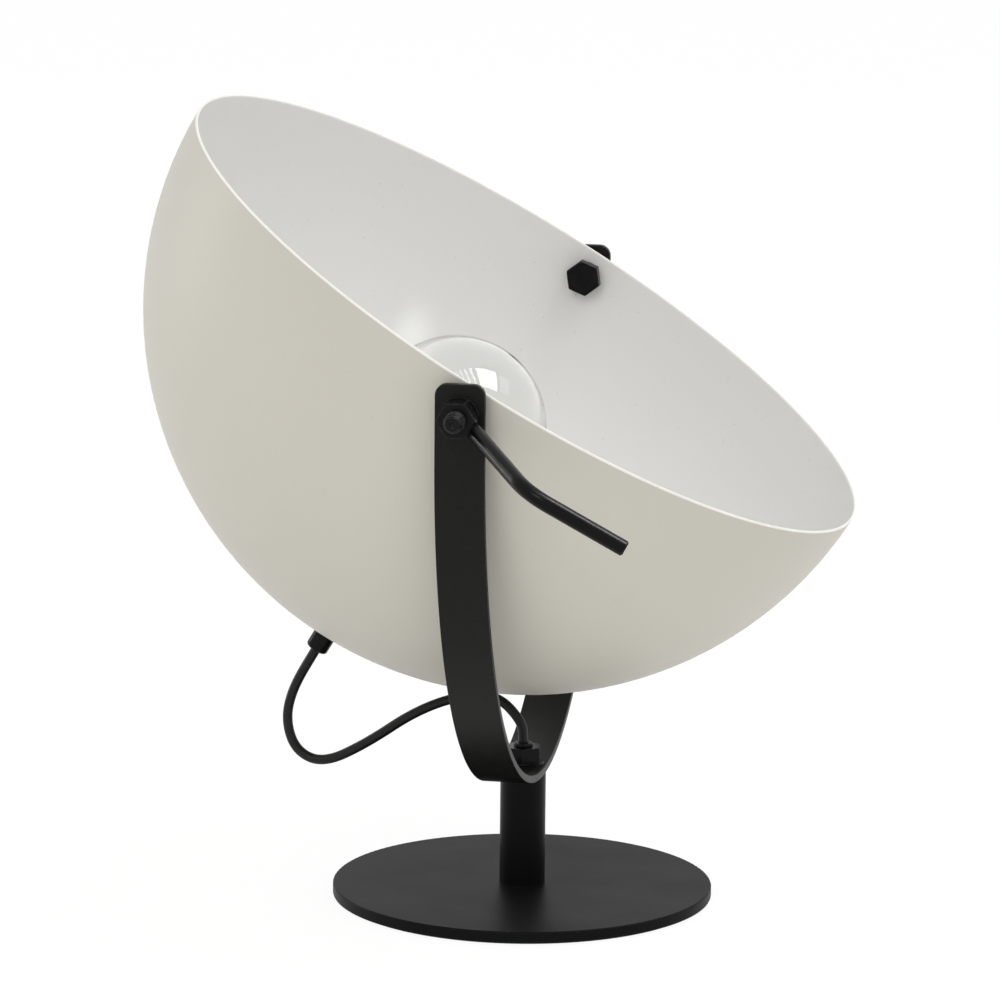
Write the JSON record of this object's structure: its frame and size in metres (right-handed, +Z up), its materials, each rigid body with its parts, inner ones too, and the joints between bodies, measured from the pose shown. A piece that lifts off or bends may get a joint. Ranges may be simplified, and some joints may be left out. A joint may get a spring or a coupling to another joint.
{
  "type": "tabletop searchlight lamp",
  "caption": "Desk lamp with a large hemispherical shade tilting in a flat-bar yoke on a short post and disc base, with a bent rod clamping lever, a globe bulb and a looped cable.",
  "frame": {"origin": "centre of the underside of the foot pad, where the lamp stands", "axes": "+Z up the post, X along the tilt axis with the clamping lever at -X, and the shade opens upwards and towards -Y"},
  "size_m": [0.5001, 0.3714, 0.4174],
  "materials": {
    "black_powder_coat": "matt black powder coat with a fine texture",
    "blackened_steel": "satin black finish on machined steel",
    "plain_steel": "zinc plated steel",
    "black_rubber": "dull black rubber",
    "black_pvc": "soft matt black cable sheath",
    "off_white_aluminium": "satin warm off-white paint on spun aluminium",
    "black_bakelite": "black moulded lampholder",
    "contact_brass": "plain sprung brass",
    "core_insulation": "thin insulated cores",
    "clear_glass": "clear blown glass",
    "nickelled_cap": "nickel plated screw shell",
    "cap_insulator": "black glass insulator",
    "filament_wire": "drawn wire"
  },
  "bodies": {
    "base": {"foot_pad": "black_rubber", "base_plate": "black_powder_coat", "base_screw": "plain_steel", "post_tube": "black_powder_coat", "post_foot_plug": "plain_steel", "post_top_plug": "plain_steel", "outlet_bush": "black_rubber", "hollow_stud": "blackened_steel", "yoke": "black_powder_coat", "saddle_washer": "blackened_steel", "gland_nut": "blackened_steel", "cable_bush": "black_pvc", "arm_washer_lever_side": "blackened_steel", "arm_washer_plain_side": "blackened_steel", "cable": "black_pvc"},
    "shade": {"shade": "off_white_aluminium", "pivot_bolt_lever_side": "blackened_steel", "pivot_bolt_plain_side": "blackened_steel", "head_collar_lever_side": "blackened_steel", "head_collar_plain_side": "blackened_steel", "pivot_spacer_lever_side": "blackened_steel", "pivot_spacer_plain_side": "blackened_steel", "friction_washer_lever_side": "black_rubber", "friction_washer_plain_side": "black_rubber", "lock_nut": "blackened_steel", "cord_grip": "blackened_steel", "grip_screw": "plain_steel", "holder_washer": "blackened_steel", "holder_cap": "black_bakelite", "holder_body": "black_bakelite", "contact_block": "black_bakelite", "centre_contact": "contact_brass", "side_contact": "contact_brass", "terminal_screws": "plain_steel", "lead_cores": "core_insulation"},
    "lever": {"lever_nut": "blackened_steel", "lever_rod": "blackened_steel"},
    "bulb": {"bulb_glass": "clear_glass", "bulb_cap": "nickelled_cap", "bulb_insulator": "cap_insulator", "bulb_tip": "nickelled_cap", "bulb_stem": "clear_glass", "bulb_wires": "filament_wire", "bulb_filament": "filament_wire"}
  },
  "joints": [
    {"name": "shade_tilt", "type": "hinge", "parent": "base", "child": "shade", "pos_m": [0, 0, 0.29797], "axis": [1, 0, 0], "range_deg": [-16, 24], "deforming": ["cable"]},
    {"name": "lever_clamp", "type": "hinge", "parent": "shade", "child": "lever", "pos_m": [-0.216, 0, 0.29797], "axis": [1, 0, 0], "range_deg": [-100, 0]},
    {"name": "bulb_removal", "type": "slide", "parent": "shade", "child": "bulb", "axis": [0, -0.515, 0.8572], "range_m": [0, 0.028]}
  ]
}
